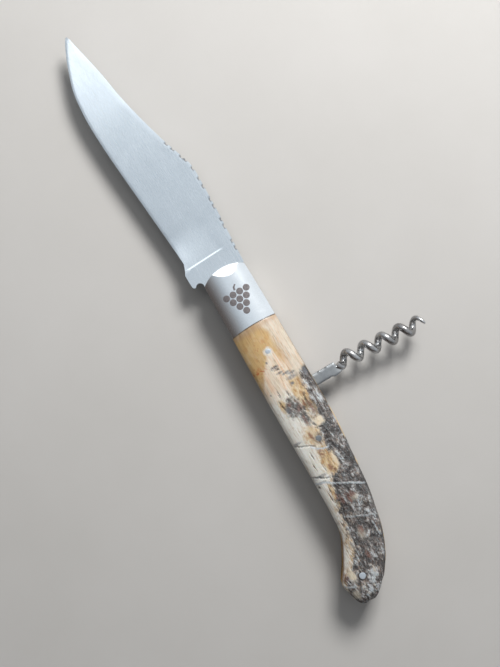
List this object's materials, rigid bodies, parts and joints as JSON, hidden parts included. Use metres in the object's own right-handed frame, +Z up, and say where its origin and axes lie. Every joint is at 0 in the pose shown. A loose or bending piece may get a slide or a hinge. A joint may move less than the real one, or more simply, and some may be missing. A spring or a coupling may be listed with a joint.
{
  "type": "folding knife corkscrew",
  "caption": "Folding pocket knife with a curved horn handle, metal bolsters, a broad clip-shaped blade and a corkscrew hinged in the back of the handle.",
  "frame": {"origin": "on the blade's pivot axis, in the plane of the flat of the lower bolster and scale, which the knife rests on when it lies on its side", "axes": "+Y along the open blade towards its tip, +X towards the spine and the open corkscrew, +Z up out of the side the knife lies on"},
  "size_m": [0.0686, 0.213, 0.014],
  "materials": {
    "blade_steel": "satin",
    "spring_steel": "satin",
    "corkscrew_steel": "polished",
    "bolster_steel": "polished",
    "pin_steel": "satin",
    "liner_brass": "satin",
    "horn": "polished horn, cream to dark grey"
  },
  "bodies": {
    "handle": {"blade_pivot_pin": "pin_steel", "liner_top": "liner_brass", "liner_bottom": "liner_brass", "bolster_top": "bolster_steel", "bolster_bottom": "bolster_steel", "bolster_rivets": "pin_steel", "scale_top": "horn", "scale_bottom": "horn", "back_spring": "spring_steel", "corkscrew_pivot_pin": "pin_steel", "spring_pin": "pin_steel", "rear_pin": "pin_steel", "front_scale_pins": "pin_steel"},
    "blade": {"blade": "blade_steel"},
    "corkscrew": {"corkscrew": "corkscrew_steel"}
  },
  "joints": [
    {"name": "blade_hinge", "type": "hinge", "parent": "handle", "child": "blade", "pos_m": [0, 0, 0.007], "axis": [0, 0, 1], "range_deg": [0, 171.4]},
    {"name": "corkscrew_hinge", "type": "hinge", "parent": "handle", "child": "corkscrew", "pos_m": [0.0083, -0.0371, 0.007], "axis": [0, 0, 1], "range_deg": [-96, 0]}
  ]
}
